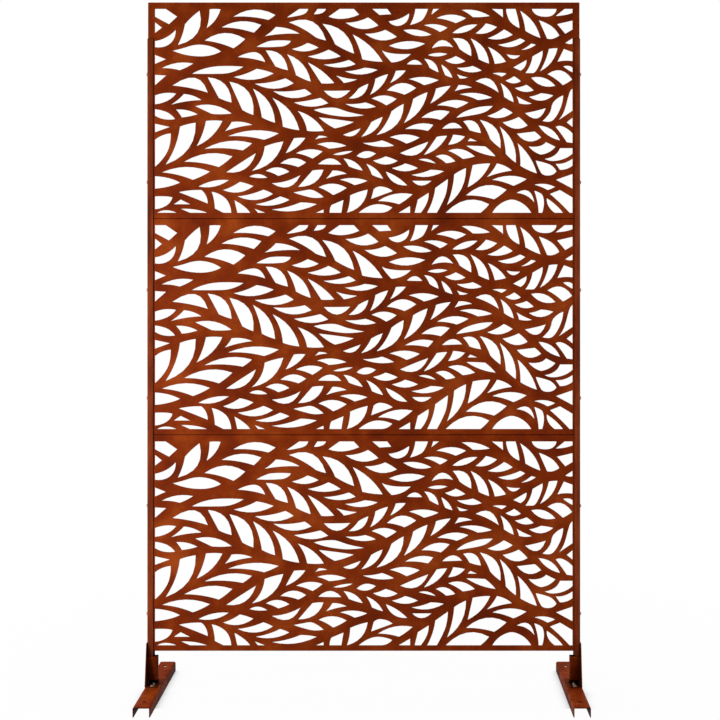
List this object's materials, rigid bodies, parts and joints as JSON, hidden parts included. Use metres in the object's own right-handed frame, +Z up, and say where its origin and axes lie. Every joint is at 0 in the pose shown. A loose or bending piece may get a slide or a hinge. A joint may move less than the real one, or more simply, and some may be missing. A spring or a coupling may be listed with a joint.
{
  "type": "laser cut metal screen",
  "caption": "Free-standing privacy screen of stacked sheet metal panels cut in a leaf pattern, held by channel posts on bracketed channel feet.",
  "frame": {"origin": "on the floor, at the centre of the box around the screen", "axes": "+X across the screen to the viewer's right, +Y from the front to the back, +Z up"},
  "size_m": [1.2286, 0.4, 1.944],
  "materials": {
    "panel_sheet": "rust red satin powder coat on cut sheet",
    "post_sheet": "rust red satin powder coat",
    "foot_sheet": "rust red satin powder coat",
    "zinc": "bright zinc plate"
  },
  "bodies": {
    "root": {"panel_top": "panel_sheet", "panel_middle": "panel_sheet", "panel_bottom": "panel_sheet", "post_left_upper": "post_sheet", "post_left_lower": "post_sheet", "post_right_upper": "post_sheet", "post_right_lower": "post_sheet", "bracket_left": "foot_sheet", "bracket_right": "foot_sheet", "foot_left": "foot_sheet", "foot_right": "foot_sheet", "panel_bolts_left": "zinc", "panel_bolts_right": "zinc", "panel_nuts_left": "zinc", "panel_nuts_right": "zinc", "post_bolts": "zinc", "post_nuts": "zinc", "foot_bolts": "zinc", "foot_washers": "zinc", "foot_nuts": "zinc"}
  },
  "joints": []
}
